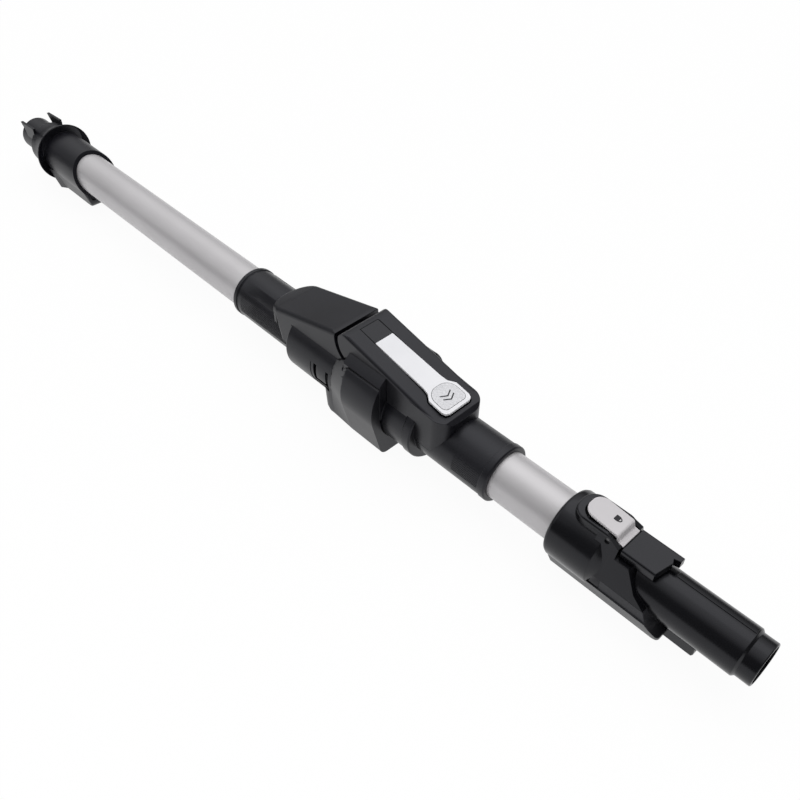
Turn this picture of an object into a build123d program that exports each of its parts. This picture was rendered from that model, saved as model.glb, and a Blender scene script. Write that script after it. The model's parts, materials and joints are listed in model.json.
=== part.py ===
from build123d import *
import os
from math import cos, radians, sin, tan

os.makedirs("parts", exist_ok=True)

# Folding vacuum wand. X runs along the tube axis from the floor-head end to the handle end,
# Z is up on the lever side, and the origin is the centre of the floor-head mouth.

# Fits
run_gap = 0.05
pass_gap = 0.35
swing_gap = 0.7

# Tubes
tube_r = 16.0
tube_wall = 1.0
tube_in_r = tube_r - tube_wall
front_tube_len = 312.0
rear_tube_len = 98.0
front_tube_x0 = 62.0
front_tube_x1 = front_tube_x0 + front_tube_len

# Floor-head connector
head_pipe_r = tube_r - 1.7
head_bore_r = tube_r - 4.0
head_pipe_len = 28.0
head_collar_r = tube_r + 3.2
brim_r = head_collar_r + 4.3
brim_z = 3.0
brim_x = head_pipe_len + 22.7
brim_slope = -0.15
brim_root_r = head_collar_r - 0.2
mouth_x = front_tube_x0 + 45.5
mouth_slope = 0.45
prong_y1 = head_pipe_r - 0.3
prong_y0 = prong_y1 - 2.4
prong_tip_x = 5.5
prong_tip_z = head_pipe_r + 3.2

# Keel under the floor-head connector
head_keel_x0 = front_tube_x0 - 7.0
head_keel_x1 = head_keel_x0 + 58.0
skirt_len = 9.0
skirt_flare = 2.0
head_keel_top_z = -8.0
head_keel_top_y = head_collar_r - 2.2
head_keel_low_z = -head_collar_r - 7.8
head_keel_low_y = 11.0
socket_len = 26.0
socket_half_y = 7.0
socket_z1 = -head_collar_r - 1.4
socket_z0 = socket_z1 - 4.8
contact_y = 3.0
contact_wide = 2.4
contact_thick = 0.8

# Elbow, shared sizes
mid_x0 = front_tube_x1 + 34.0
mid_x1 = mid_x0 + 66.4
mid_r = tube_r + 9.8
mid_z = 3.0
cuff_x0 = mid_x1 + 0.5
cuff_r = tube_r + 7.6
hinge_x = mid_x1 - 4.4
hinge_z = cuff_r + 13.4
hinge_pin_r = 2.0
hinge_pin_half = 15.0
barrel_r = 14.0
lug_r = 3.4
lug_half_y = 6.5
lug_inset = 0.4
saddle_half_y = cuff_r + 1.0
saddle_low_z = 2.0
saddle_floor_z = cuff_r + 0.4
ear_x0 = hinge_x - 2.5
ear_low_z = cuff_r - 2.1
house_half_y = saddle_half_y - 5.7

# Elbow, front half
front_collar_x0 = front_tube_x1 - 36.0
front_collar_r = tube_r + 2.5
hose_seat_r = tube_r + 2.3
hose_seat_x = mid_x0 + 5.0
cover_half_y = house_half_y + 0.1
cover_x0 = front_tube_x1 + 5.0
cover_x1 = hinge_x - 17.2
cover_nose_x = cover_x0 + 6.0
cover_nose_z = front_collar_r + 4.8
cover_foot_x = cover_x0 + 12.0
cover_top_z = hinge_z + 3.0
cover_arc_r = barrel_r + 3.2
cover_arc_high = 170
cover_arc_low = 238
cover_corner_r = 6.0
cover_edge_r = 3.2
cover_wall = 2.6
window_x0 = mid_x1 - 40.4
window_x1 = window_x0 + 18.0
window_z0 = -7.0
window_z1 = 9.0
tongue_long = 10.0
tongue_high = 9.0

# Drum around the sliding cuff
drum_x0 = mid_x1 - 30.4
drum_x1 = drum_x0 + 57.0
drum_r = cuff_r + 8.4
drum_z = 8.0
drum_lean = 14.0
drum_low_z = -cuff_r - 6.4
drum_corner_r = 6.5
drum_shoulder_r = 5.0
drum_root_r = mid_r - 0.3
drum_root_lean = 3.7
flare_x0 = window_x1 + 2.0
flare_x1 = mid_x1 - 2.0
saddle_x1 = drum_x1 - 0.4

# Hose
hose_x0 = mid_x1 - 24.4
hose_x1 = hose_x0 + 29.0
hose_out_r = hose_seat_r - 0.5
hose_in_r = tube_in_r - 0.6
hose_wall = 0.8
hose_waves = 6
hose_ring_in_r = tube_in_r
hose_collar_x1 = hose_x1 + 9.0

# Elbow, rear half
bead_x0 = cuff_x0 + 44.1
bead_x1 = bead_x0 + 7.0
bead_r = cuff_r + 0.8
rear_tube_x0 = bead_x1 + 22.0
rear_tube_x1 = rear_tube_x0 + rear_tube_len
rear_collar_x1 = rear_tube_x0 + 35.0
rear_collar_r = tube_r + 2.7
rim_len = 5.0
rim_lift = 0.5

# Lever housing and push lever
house_top_x = hinge_x - 4.0
house_top_z = hinge_z + 7.2
house_end_x = hinge_x + 70.0
house_end_z = bead_r + 2.4
house_x1 = house_end_x + 9.5
house_corner_r = 11.0
house_edge_r = 2.4
barrel_edge_r = 7.0
lever_x0 = hinge_x - 5.0
lever_x1 = house_end_x + 4.0
lever_joint_x = hinge_x + 8.5
lever_joint_z = hinge_z + 4.3
lever_end_z = house_end_z + 1.7
lever_half_y = 7.3
pad_half_y = 11.8
pad_x0 = lever_x1 - 23.0
plate_t = 1.6
core_t = 2.8
lever_pin_x = hinge_x + 12.0
lever_pin_z = hinge_z - 1.0
lever_pin_r = 1.5
lever_boss_r = 3.0
pocket_depth = 9.6
room_top_z = 80.0
lever_spring_x = lever_x1 - 10.0
spring_wire_r = 0.35
lever_spring_r = 3.0

# Handle connector
conn_x0 = rear_tube_x1 - 17.5
conn_collar_r = tube_r + 5.6
conn_collar_x1 = rear_tube_x1 + 12.0
spigot_r = tube_r - 1.6
spigot_root_r = spigot_r - 0.3
shoulder_x1 = conn_collar_x1 + 9.0
spigot_x1 = rear_tube_x1 + 96.0
tip_r = spigot_r - 1.4
tip_x1 = spigot_x1 + 10.0
airway_r = spigot_r - 2.9
block_x1 = conn_collar_x1 + 26.0
block_top_z = spigot_r + 0.4
block_low_y = conn_collar_r - 3.2
block_low_z = -1.0
boss_x0 = conn_x0 + 6.5
boss_x1 = conn_collar_x1 + 10.0
boss_half_y = 10.5
boss_top_z = conn_collar_r + 3.4
boss_corner_r = 9.0
boss_fall = 9.0
button_corner_r = 6.5
boss_edge_r = 1.4
button_half_y = boss_half_y - 2.8
button_x0 = boss_x0 + 6.0
button_x1 = boss_x1 - 4.0
rocker_x0 = button_x0 + 4.5
opening_x0 = button_x0 - 1.1
button_top_z = boss_top_z + 3.4
button_end_z = boss_top_z + 1.0
button_t = 2.2
button_low_z = button_top_z - button_t
step_x = button_x1 - 0.6
latch_pin_x = button_x1 - 3.5
latch_pin_z = boss_top_z - 3.7
latch_pin_r = 1.5
latch_boss_r = 2.5
latch_low_z = latch_pin_z - 0.9
latch_floor_z = latch_low_z - 5.2
latch_spring_x = latch_pin_x - 8.5
latch_spring_r = 2.4
arm_x0 = boss_x1 + 1.0
arm_x1 = arm_x0 + 25.5
arm_half_y = boss_half_y - 0.2
arm_top_z = latch_pin_z - 0.5
arm_lift = 0.6

# Keel and contact plug under the handle connector
keel_x0 = conn_x0 + 2.5
keel_x1 = block_x1 + 20.0
spigot_x0 = keel_x1 + 1.0
keel_top_z = -8.0
keel_top_y = conn_collar_r - 2.2
keel_step_x = shoulder_x1 - 1.0
keel_side_y = block_low_y + 0.2
keel_low_z = -conn_collar_r - 3.4
keel_low_y = 12.0
plug_x0 = keel_x1 - 16.0
plug_x1 = keel_x1 + 17.0
plug_half_y = 6.5
plug_z0 = keel_low_z + 1.2
plug_z1 = plug_z0 + 7.6
plug_slot_len = 10.0

# Screws and leads
screw_r = 1.3
screw_head_r = 2.6
screw_head_t = 1.6
screw_gap = 0.2
screw_sink = 0.4
head_screw_x = (head_keel_x1 - 21.0, head_keel_x1 - 9.0)
keel_screw_x = (conn_x0 + 12.5, conn_collar_x1 + 18.0)
lead_r = 1.5
lead_inset = 2.0

# Derived lines
plate_slope = (lever_joint_z - lever_end_z) / (lever_x1 - lever_joint_x)


def plate_z(x):
    return lever_joint_z - plate_slope * (x - lever_joint_x)


def ring_part(x0, x1, r_out, r_in):
    with BuildPart() as ring:
        with BuildSketch(Plane.YZ.offset(x0)):
            Circle(r_out)
            Circle(r_in, mode=Mode.SUBTRACT)
        extrude(amount=x1 - x0)
    return ring.part


def coil_part(x, z0, z1, r_coil, r_wire, turns):
    z_low = z0 + r_wire
    z_high = z1 - r_wire
    with BuildPart() as coil:
        with BuildLine(Plane.XY.offset(z_low).move(Location((x, 0, 0)))):
            path = Helix(pitch=(z_high - z_low) / turns, height=z_high - z_low, radius=r_coil)
        with BuildSketch(Plane(path @ 0, z_dir=path % 0)):
            Circle(r_wire)
        sweep(path=path)
    return coil.part


def finish(piece, label):
    piece.label = label
    export_step(piece, "parts/" + label + ".step")


# Brim of the floor-head connector, widening from the pipe and standing highest on the lever side
with BuildPart() as head_brim:
    with BuildSketch(Plane.YZ.offset(head_pipe_len)):
        Circle(brim_root_r)
    with BuildSketch(Plane.YZ.offset(brim_x - 7)):
        with Locations((0, 0.3 * brim_z)):
            Circle(brim_root_r + 0.3 * (brim_r - brim_root_r))
    with BuildSketch(Plane.YZ.offset(brim_x + 5)):
        with Locations((0, brim_z)):
            Circle(brim_r)
    loft()
    split(bisect_by=Plane((brim_x, 0, 0), z_dir=(1, 0, brim_slope)), keep=Keep.BOTTOM)
    with BuildSketch(Plane.YZ.offset(head_pipe_len)):
        Circle(tube_r)
    extrude(amount=brim_r, mode=Mode.SUBTRACT)

# Floor-head connector: pipe, brim, tube collar with a slanted mouth, two prongs
with BuildPart() as head_connector:
    with BuildSketch(Plane.XZ):
        with BuildLine():
            Polyline(
                (0, head_bore_r),
                (0, head_pipe_r - 0.8),
                (0.8, head_pipe_r),
                (head_pipe_len, head_pipe_r),
                (head_pipe_len, head_collar_r),
                (mouth_x + mouth_slope * head_collar_r + 2, head_collar_r),
                (mouth_x + mouth_slope * head_collar_r + 2, tube_r),
                (front_tube_x0, tube_r),
                (front_tube_x0, head_bore_r),
                close=True,
            )
        make_face()
    revolve(axis=Axis.X)
    split(bisect_by=Plane((mouth_x, 0, 0), z_dir=(1, 0, mouth_slope)), keep=Keep.BOTTOM)
    with BuildSketch(Plane.XZ.offset(-prong_y1)) as prong:
        with BuildLine():
            Polyline(
                (prong_tip_x, prong_tip_z),
                (head_pipe_len + 2, prong_tip_z + 1.5),
                (head_pipe_len + 2, head_pipe_r - 8),
                (prong_tip_x + 8, head_pipe_r - 8),
                (prong_tip_x + 6, prong_tip_z - 6),
                close=True,
            )
        make_face()
    extrude(amount=prong_y1 - prong_y0)
    with BuildSketch(Plane.XZ.offset(prong_y0)):
        add(prong.sketch_local)
    extrude(amount=prong_y1 - prong_y0)
    add(head_brim.part)
    with BuildSketch(Plane.YZ):
        Circle(head_bore_r)
    extrude(amount=front_tube_x0, mode=Mode.SUBTRACT)
    for x in head_screw_x:
        with BuildSketch(Plane.XY.offset(-head_collar_r - 1)):
            with Locations((x, 0)):
                Circle(screw_r)
        extrude(amount=1 + head_collar_r - tube_r - 0.6, mode=Mode.SUBTRACT)
finish(head_connector.part, "head_connector")

# Keel under the floor-head connector with a contact socket open to the far end
with BuildPart() as head_keel:
    with BuildSketch(Plane.YZ.offset(head_keel_x0)):
        with BuildLine():
            Polyline(
                (-head_keel_top_y, head_keel_top_z),
                (head_keel_top_y, head_keel_top_z),
                (head_keel_low_y, head_keel_low_z),
                (-head_keel_low_y, head_keel_low_z),
                close=True,
            )
        make_face()
    extrude(amount=head_keel_x1 - head_keel_x0)
    fillet(head_keel.faces().sort_by(Axis.X)[-1].edges().sort_by(Axis.Z)[0], 8)
    fillet(head_keel.faces().sort_by(Axis.Z)[0].edges().filter_by(Axis.X), 2)
    for x, flare in ((0, skirt_flare), (skirt_len, 0)):
        with BuildSketch(Plane.YZ.offset(head_keel_x0 + x)):
            with BuildLine():
                Polyline(
                    (-head_keel_top_y - flare, head_keel_top_z),
                    (head_keel_top_y + flare, head_keel_top_z),
                    (head_keel_low_y + flare, head_keel_low_z - flare),
                    (-head_keel_low_y - flare, head_keel_low_z - flare),
                    close=True,
                )
            make_face()
    loft()
    with BuildSketch(Plane.YZ):
        Circle(head_collar_r)
    extrude(amount=head_keel_x1 + 5, mode=Mode.SUBTRACT)
    with BuildSketch(Plane.YZ.offset(head_keel_x0)):
        with Locations((0, (socket_z0 + socket_z1) / 2)):
            Rectangle(2 * socket_half_y, socket_z1 - socket_z0)
    extrude(amount=socket_len, mode=Mode.SUBTRACT)
    for x in head_screw_x:
        with BuildSketch(Plane.XY.offset(head_keel_low_z - 1)):
            with Locations((x, 0)):
                Circle(screw_r + screw_gap)
        extrude(amount=12, mode=Mode.SUBTRACT)
        with BuildSketch(Plane.XY.offset(head_keel_low_z - 1)):
            with Locations((x, 0)):
                Circle(screw_head_r + screw_gap)
        extrude(amount=1 + screw_head_t + screw_sink, mode=Mode.SUBTRACT)
finish(head_keel.part, "head_keel")

# Contact blades in the socket
contact_z = (socket_z0 + socket_z1) / 2
with BuildPart() as head_contacts:
    with BuildSketch(Plane.YZ.offset(head_keel_x0 + socket_len)):
        with Locations((-contact_y, contact_z), (contact_y, contact_z)):
            Rectangle(contact_wide, contact_thick)
    extrude(amount=-(socket_len - 9))
finish(head_contacts.part, "head_contacts")

# Screws of the far keel
with BuildPart() as head_screws:
    for x in head_screw_x:
        with BuildSketch(Plane.XY.offset(head_keel_low_z + screw_sink)):
            with Locations((x, 0)):
                Circle(screw_head_r)
        extrude(amount=screw_head_t)
        with BuildSketch(Plane.XY.offset(head_keel_low_z + screw_sink)):
            with Locations((x, 0)):
                Circle(screw_r)
        extrude(amount=-head_keel_low_z - screw_sink - tube_r - 0.7)
finish(head_screws.part, "head_screws")

# Tubes
finish(ring_part(front_tube_x0, front_tube_x1, tube_r, tube_in_r), "front_tube")
finish(ring_part(rear_tube_x0, rear_tube_x1, tube_r, tube_in_r), "rear_tube")

# Leads lying in the tubes
with BuildPart() as front_lead:
    with BuildSketch(Plane.YZ.offset(front_tube_x0 + lead_inset)):
        with Locations((0, lead_r - tube_in_r)):
            Circle(lead_r)
    extrude(amount=front_tube_x1 - front_tube_x0 - 2 * lead_inset)
finish(front_lead.part, "front_lead")
with BuildPart() as rear_lead:
    with BuildSketch(Plane.YZ.offset(rear_tube_x0 + lead_inset)):
        with Locations((0, lead_r - tube_in_r)):
            Circle(lead_r)
    extrude(amount=rear_tube_x1 - rear_tube_x0 - 2 * lead_inset)
finish(rear_lead.part, "rear_lead")

# Elbow front: tube collar, mid shell and the hinge lug that stands on it
with BuildPart() as elbow_front:
    with BuildSketch(Plane.XZ):
        with BuildLine():
            Polyline(
                (front_collar_x0, tube_r),
                (front_collar_x0, front_collar_r - 0.9),
                (front_collar_x0 + 0.9, front_collar_r),
                (front_collar_x0 + 3.6, front_collar_r),
                (front_collar_x0 + 3.8, front_collar_r - 0.5),
                (front_collar_x0 + 4.4, front_collar_r - 0.5),
                (front_collar_x0 + 4.6, front_collar_r),
                (mid_x0 + 2, front_collar_r),
                (mid_x0 + 2, tube_in_r - 0.5),
                (front_tube_x1, tube_in_r - 0.5),
                (front_tube_x1, tube_r),
                close=True,
            )
        make_face()
    revolve(axis=Axis.X)
    with BuildSketch(Plane.YZ.offset(mid_x0)):
        with Locations((0, mid_z)):
            Circle(mid_r)
    extrude(amount=mid_x1 - mid_x0)
    shell_edge = elbow_front.edges().sort_by_distance((mid_x0, -mid_r, mid_z))[0]
    fillet(shell_edge, 1.2)
    with BuildSketch(Plane.YZ.offset(hose_seat_x)):
        Circle(hose_seat_r)
    extrude(amount=mid_x1 - hose_seat_x, mode=Mode.SUBTRACT)
    with BuildSketch(Plane.YZ.offset(front_tube_x1)):
        Circle(tube_in_r - 0.5)
    extrude(amount=hose_seat_x - front_tube_x1, mode=Mode.SUBTRACT)
    with BuildSketch(Plane.XZ):
        with Locations((hinge_x, hinge_z)):
            Circle(barrel_r + swing_gap)
    extrude(amount=house_half_y + swing_gap, both=True, mode=Mode.SUBTRACT)
    with BuildSketch(Plane.XZ):
        with Locations(((window_x0 + window_x1) / 2, (window_z0 + window_z1) / 2)):
            Rectangle(window_x1 - window_x0, window_z1 - window_z0)
    extrude(amount=mid_r + 5, both=True, mode=Mode.SUBTRACT)
    with BuildSketch(Plane.XZ):
        with Locations((hinge_x, hinge_z)):
            Circle(lug_r)
        with BuildLine():
            Polyline(
                (hinge_x - lug_r + lug_inset, hinge_z),
                (hinge_x + lug_r - lug_inset, hinge_z),
                (hinge_x + lug_r - lug_inset, hose_seat_r + 1),
                (hinge_x - lug_r + lug_inset, hose_seat_r + 1),
                close=True,
            )
        make_face()
        with Locations((hinge_x, hinge_z)):
            Circle(hinge_pin_r, mode=Mode.SUBTRACT)
    extrude(amount=lug_half_y, both=True)
finish(elbow_front.part, "elbow_front")

# Front cover: sloping top housing with a concave end around the hinge barrel
with BuildPart() as front_cover:
    with BuildSketch(Plane.XZ):
        with BuildLine():
            arc = CenterArc(
                (hinge_x, hinge_z), cover_arc_r, cover_arc_high, cover_arc_low - cover_arc_high
            )
            Polyline(
                arc @ 1,
                ((arc @ 1).X, 0),
                (cover_foot_x, 0),
                (cover_nose_x, cover_nose_z),
                (cover_x1 - 4, cover_top_z),
                arc @ 0,
            )
        make_face()
    extrude(amount=cover_half_y, both=True)
    nose_mid = ((cover_foot_x + cover_nose_x) / 2, cover_nose_z / 2)
    nose_edges = [
        front_cover.edges().sort_by_distance((nose_mid[0], side * cover_half_y, nose_mid[1]))[0]
        for side in (-1, 1)
    ]
    fillet(nose_edges, cover_corner_r)
    top_mid = ((cover_nose_x + cover_x1) / 2, (cover_nose_z + cover_top_z) / 2)
    top_edges = [
        front_cover.edges().sort_by_distance((top_mid[0], side * cover_half_y, top_mid[1]))[0]
        for side in (-1, 1)
    ]
    top_edges += front_cover.edges().filter_by_position(
        Axis.X, cover_nose_x - 1, cover_nose_x + cover_corner_r + 1
    ).filter_by_position(Axis.Z, cover_nose_z - 1, cover_nose_z + 4)
    fillet(top_edges, cover_edge_r)
    with BuildSketch(Plane.YZ):
        Circle(front_collar_r)
    extrude(amount=mid_x0 + 10, mode=Mode.SUBTRACT)
    with BuildSketch(Plane.YZ.offset(mid_x0)):
        with Locations((0, mid_z)):
            Circle(mid_r)
    extrude(amount=hinge_x - mid_x0, mode=Mode.SUBTRACT)
    with BuildSketch(Plane.XZ):
        with BuildLine():
            Polyline(
                (cover_x0 + 30, front_collar_r + 2.5),
                (cover_x1 - 6, cover_top_z - cover_wall - 1.4),
                (cover_x1 - cover_wall - 0.6, cover_top_z - cover_wall - 1.4),
                (cover_x1 - cover_wall - 0.6, 12),
                (cover_x0 + 30, 12),
                close=True,
            )
        make_face()
    extrude(amount=cover_half_y - cover_wall, both=True, mode=Mode.SUBTRACT)
finish(front_cover.part, "front_cover")



def drum_face(x, r, z, low_z, lean):
    """Section of the drum: round on top, sides leaning in to a flat bottom with rounded corners."""
    side_y = r * cos(radians(lean))
    side_z = z - r * sin(radians(lean))
    low_y = side_y - (side_z - low_z) * tan(radians(lean))
    with BuildSketch(Plane.YZ.offset(x)) as section:
        with BuildLine():
            top = ThreePointArc((side_y, side_z), (0, z + r), (-side_y, side_z))
            Polyline(top @ 1, (-low_y, low_z), (low_y, low_z), top @ 0)
        make_face()
        fillet(section.vertices().sort_by(Axis.Y)[:2], drum_corner_r)
    return section.sketch


# Drum: a trough around the cuff, open at the top, flared out of the mid shell
with BuildPart() as drum:
    for x, inset in ((0, 1), (1, 0.55), (2.5, 0.2), (6, 0), (flare_x0 - drum_x0, 0)):
        down = inset * drum_shoulder_r
        add(drum_face(drum_x0 + x, drum_root_r - down, mid_z, drum_low_z + down, drum_root_lean))
    add(drum_face(flare_x1, drum_r, drum_z, drum_low_z, drum_lean))
    loft(ruled=True)
    extrude(drum_face(flare_x1, drum_r, drum_z, drum_low_z, drum_lean), amount=drum_x1 - flare_x1)
    with BuildSketch(Plane.YZ.offset(drum_x0)):
        with Locations((0, mid_z)):
            Circle(mid_r)
    extrude(amount=mid_x1 - drum_x0, mode=Mode.SUBTRACT)
    with BuildSketch(Plane.YZ.offset(mid_x1)):
        Circle(cuff_r + swing_gap)
        with Locations((0, 2 * drum_r)):
            Rectangle(2 * (saddle_half_y + pass_gap), 4 * drum_r)
    extrude(amount=drum_x1 - mid_x1, mode=Mode.SUBTRACT)
    with BuildSketch(Plane.YZ.offset(drum_x0)):
        with Locations((0, mid_z + 2 * drum_r)):
            Rectangle(2 * (house_half_y + swing_gap), 4 * drum_r)
    extrude(amount=mid_x1 - drum_x0, mode=Mode.SUBTRACT)
    with BuildSketch(Plane.YZ.offset(ear_x0 - swing_gap)):
        with Locations((0, ear_low_z - swing_gap + 2 * drum_r)):
            Rectangle(2 * (saddle_half_y + pass_gap), 4 * drum_r)
    extrude(amount=mid_x1 - ear_x0 + swing_gap, mode=Mode.SUBTRACT)
    with BuildSketch(Plane.XZ):
        with Locations(((window_x0 + window_x1) / 2, (window_z0 + window_z1) / 2)):
            Rectangle(window_x1 - window_x0, window_z1 - window_z0)
    extrude(amount=drum_r + 5, both=True, mode=Mode.SUBTRACT)
finish(drum.part, "drum")

# Ring that holds the hose in the mid shell, with a snap tongue in each window
with BuildPart() as hose_ring:
    with BuildSketch(Plane.YZ.offset(hose_seat_x)):
        Circle(hose_seat_r)
        Circle(hose_ring_in_r, mode=Mode.SUBTRACT)
    extrude(amount=hose_x0 - hose_seat_x)
    for side in (-1, 1):
        with BuildSketch(Plane.XZ.offset(side * (hose_seat_r - 1.5))):
            with Locations(((window_x0 + window_x1) / 2 + 1.5, (window_z0 + window_z1) / 2 + 1)):
                RectangleRounded(tongue_long, tongue_high, 1.5)
        extrude(amount=side * (mid_r - hose_seat_r))
finish(hose_ring.part, "hose_ring")

# Bellows hose, pressed together while the wand is straight
wave = (hose_x1 - hose_x0) / hose_waves
outer_line = []
inner_line = []
for i in range(hose_waves):
    x = hose_x0 + i * wave
    outer_line += [(x, hose_in_r + hose_wall), (x + wave / 2, hose_out_r)]
    inner_line += [(x, hose_in_r), (x + wave / 2, hose_out_r - hose_wall)]
outer_line.append((hose_x1, hose_in_r + hose_wall))
inner_line.append((hose_x1, hose_in_r))
with BuildPart() as hose:
    with BuildSketch(Plane.XZ):
        with BuildLine():
            Polyline(*outer_line, *reversed(inner_line), close=True)
        make_face()
    revolve(axis=Axis.X)
finish(hose.part, "hose")

# Hinge pin
with BuildPart() as hinge_pin:
    with BuildSketch(Plane.XZ):
        with Locations((hinge_x, hinge_z)):
            Circle(hinge_pin_r)
    extrude(amount=hinge_pin_half, both=True)
finish(hinge_pin.part, "hinge_pin")

# Elbow rear: cuff, bead, tube collar, and the saddle with two ears that carries the lever housing
with BuildPart() as elbow_rear:
    with BuildSketch(Plane.XZ):
        with BuildLine():
            Polyline(
                (cuff_x0, hose_seat_r),
                (cuff_x0, cuff_r - 1),
                (cuff_x0 + 1, cuff_r),
                (bead_x0, cuff_r),
                (bead_x0 + 0.8, bead_r),
                (bead_x1 - 0.8, bead_r),
                (bead_x1, bead_r - 0.8),
                (bead_x1, rear_collar_r),
                (rear_collar_x1 - rim_len, rear_collar_r),
                (rear_collar_x1 - rim_len, rear_collar_r + rim_lift),
                (rear_collar_x1 - 0.8, rear_collar_r + rim_lift),
                (rear_collar_x1, rear_collar_r - 0.3),
                (rear_collar_x1, tube_r),
                (rear_tube_x0, tube_r),
                (rear_tube_x0, tube_in_r),
                (hose_collar_x1, tube_in_r),
                (hose_collar_x1, hose_seat_r),
                close=True,
            )
        make_face()
    revolve(axis=Axis.X)
    with BuildSketch(Plane.YZ.offset(cuff_x0)):
        with Locations((0, drum_z)):
            Circle(drum_r)
        with Locations((0, saddle_low_z + 2 * drum_r)):
            Rectangle(2 * saddle_half_y, 4 * drum_r, mode=Mode.INTERSECT)
        Circle(cuff_r - 1, mode=Mode.SUBTRACT)
        with Locations((0, saddle_floor_z + 2 * drum_r)):
            Rectangle(2 * house_half_y, 4 * drum_r, mode=Mode.SUBTRACT)
    extrude(amount=saddle_x1 - cuff_x0)
    with BuildSketch(Plane.YZ.offset(ear_x0)):
        with Locations((0, drum_z)):
            Circle(drum_r)
        with Locations((0, ear_low_z + 2 * drum_r)):
            Rectangle(2 * saddle_half_y, 4 * drum_r, mode=Mode.INTERSECT)
        Rectangle(2 * house_half_y, 4 * drum_r, mode=Mode.SUBTRACT)
    extrude(amount=cuff_x0 - ear_x0)
finish(elbow_rear.part, "elbow_rear")

# Collar at the rear end of the hose
finish(ring_part(hose_x1, hose_collar_x1, hose_seat_r, hose_ring_in_r), "hose_collar")

# Plan of the lever, from the hinge end to the pad


def lever_plan(x0, grow):
    return [
        (x0 - grow, lever_half_y + grow),
        (pad_x0 - 2 * grow, lever_half_y + 0.5 + grow),
        (pad_x0 + 4.5 - 2 * grow, lever_half_y + 1.2 + grow),
        (pad_x0 + 9 - 2 * grow, pad_half_y + grow),
        (lever_x1 - 3.5, pad_half_y + grow),
        (lever_x1 - 1 + grow, pad_half_y - 1 + grow),
        (lever_x1 + grow, pad_half_y - 3.5 + grow),
        (lever_x1 + grow, 3.5 - pad_half_y - grow),
        (lever_x1 - 1 + grow, 1 - pad_half_y - grow),
        (lever_x1 - 3.5, -pad_half_y - grow),
        (pad_x0 + 9 - 2 * grow, -pad_half_y - grow),
        (pad_x0 + 4.5 - 2 * grow, -lever_half_y - 1.2 - grow),
        (pad_x0 - 2 * grow, -lever_half_y - 0.5 - grow),
        (x0 - grow, -lever_half_y - grow),
    ]


# Room for the lever inside its housing
pocket_mid_x = (lever_x0 + lever_x1) / 2
pocket_mid_z = plate_z(pocket_mid_x) - pocket_depth
pocket_end_z = rear_collar_r + 0.8
with BuildPart() as lever_room:
    with BuildSketch(Plane.XY):
        with BuildLine():
            Polyline(*lever_plan(lever_x0, pass_gap), close=True)
        make_face()
    extrude(amount=room_top_z)
    with BuildSketch(Plane.XZ):
        with BuildLine():
            Polyline(
                (lever_x0 - 5, plate_z(lever_x0) - pocket_depth),
                (pocket_mid_x, pocket_mid_z),
                (lever_x1 + 5, pocket_end_z),
                (lever_x1 + 5, room_top_z),
                (lever_x0 - 5, room_top_z),
                close=True,
            )
        make_face()
    extrude(amount=40, both=True, mode=Mode.INTERSECT)

# Lever housing: barrel at the hinge, rails beside the lever, near end rounded on to the collar
with BuildPart() as lever_housing:
    with BuildSketch(Plane.XZ):
        with BuildLine():
            arc = CenterArc((hinge_x, hinge_z), barrel_r, 150, 138)
            Polyline(
                arc @ 1,
                ((arc @ 1).X, saddle_floor_z),
                (saddle_x1 + pass_gap, saddle_floor_z),
                (saddle_x1 + pass_gap, 0),
                (house_x1, 0),
                (house_x1, house_end_z - 3.5),
                (house_x1 - 2.5, house_end_z - 0.8),
                (house_end_x, house_end_z),
                (house_top_x, house_top_z),
                arc @ 0,
            )
            barrel_edge = ((arc @ 0).X, 0, (arc @ 0).Y)
        make_face()
    extrude(amount=house_half_y, both=True)
    for side in (-1, 1):
        rail_edge = lever_housing.edges().sort_by_distance(
            ((house_top_x + house_end_x) / 2, side * house_half_y, (house_top_z + house_end_z) / 2)
        )[0]
        fillet(rail_edge, house_edge_r)
    fillet(lever_housing.edges().sort_by_distance(barrel_edge)[0], barrel_edge_r)
    with BuildSketch(Plane.XY) as house_plan:
        with Locations(((hinge_x - barrel_r + house_x1) / 2, 0)):
            Rectangle(house_x1 - hinge_x + barrel_r, 2 * house_half_y)
        fillet(house_plan.vertices().sort_by(Axis.X)[-2:], house_corner_r)
    extrude(amount=room_top_z, mode=Mode.INTERSECT)
    with BuildSketch(Plane.YZ.offset(saddle_x1)):
        Circle(cuff_r)
    extrude(amount=bead_x0 + 0.5 - saddle_x1, mode=Mode.SUBTRACT)
    with BuildSketch(Plane.YZ.offset(bead_x0)):
        Circle(bead_r)
    extrude(amount=bead_x1 - bead_x0, mode=Mode.SUBTRACT)
    with BuildSketch(Plane.YZ.offset(bead_x0)):
        Circle(rear_collar_r)
    extrude(amount=house_x1 + 5 - bead_x0, mode=Mode.SUBTRACT)
    add(lever_room.part, mode=Mode.SUBTRACT)
    with BuildSketch(Plane.XZ):
        with BuildLine():
            Polyline(
                (hinge_x - barrel_r - 1, hinge_z - barrel_r - 1),
                (hinge_x + lug_r + 0.6, hinge_z - barrel_r - 1),
                (hinge_x + lug_r + 0.6, hinge_z + lug_r + 0.3),
                (hinge_x - barrel_r - 1, hinge_z + lug_r + 0.3),
                close=True,
            )
        make_face()
    extrude(amount=lug_half_y + swing_gap, both=True, mode=Mode.SUBTRACT)
    with BuildSketch(Plane.XZ):
        with Locations((hinge_x, hinge_z)):
            Circle(hinge_pin_r + run_gap)
    extrude(amount=hinge_pin_half + 0.2, both=True, mode=Mode.SUBTRACT)
    with BuildSketch(Plane.XZ):
        with Locations((lever_pin_x, lever_pin_z)):
            Circle(lever_pin_r)
    extrude(amount=lever_half_y + 4, both=True, mode=Mode.SUBTRACT)
finish(lever_housing.part, "lever_housing")

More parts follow.
